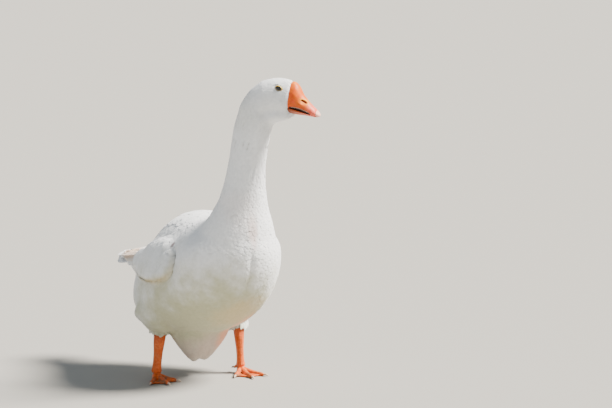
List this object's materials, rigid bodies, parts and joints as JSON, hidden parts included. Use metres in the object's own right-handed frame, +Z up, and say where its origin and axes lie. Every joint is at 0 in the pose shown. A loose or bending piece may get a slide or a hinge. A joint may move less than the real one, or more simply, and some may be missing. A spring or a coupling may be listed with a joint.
{
  "type": "domestic goose",
  "caption": "Still, life-size model of a white farmyard goose standing with neck raised and head turned to its left, in named body parts.",
  "frame": {"origin": "on the floor, under the middle of the goose's bounding box", "axes": "+Z up, the breast towards -Y and the tail towards +Y, the goose's left at +X"},
  "size_m": [0.292, 0.6048, 0.6609],
  "materials": {
    "plumage": "matt white feathers, cream and a little soiled on the belly",
    "bill": "orange, waxy skin over the bill, pinker towards the tip",
    "nail": "pale horn",
    "eye": "wet and dark, with a blue-grey iris",
    "leg_skin": "orange scaled skin",
    "claw": "pale horn, worn"
  },
  "bodies": {
    "root": {"trunk": "plumage", "neck": "plumage", "head": "plumage", "wing_left": "plumage", "wing_right": "plumage", "tail": "plumage", "thigh_left": "plumage", "thigh_right": "plumage", "bill_upper": "bill", "bill_lower": "bill", "bill_nail": "nail", "eye_left": "eye", "eye_right": "eye", "shank_left": "leg_skin", "shank_right": "leg_skin", "foot_left": "leg_skin", "foot_right": "leg_skin", "claw_inner_left": "claw", "claw_middle_left": "claw", "claw_outer_left": "claw", "claw_hind_left": "claw", "claw_inner_right": "claw", "claw_middle_right": "claw", "claw_outer_right": "claw", "claw_hind_right": "claw"}
  },
  "joints": []
}
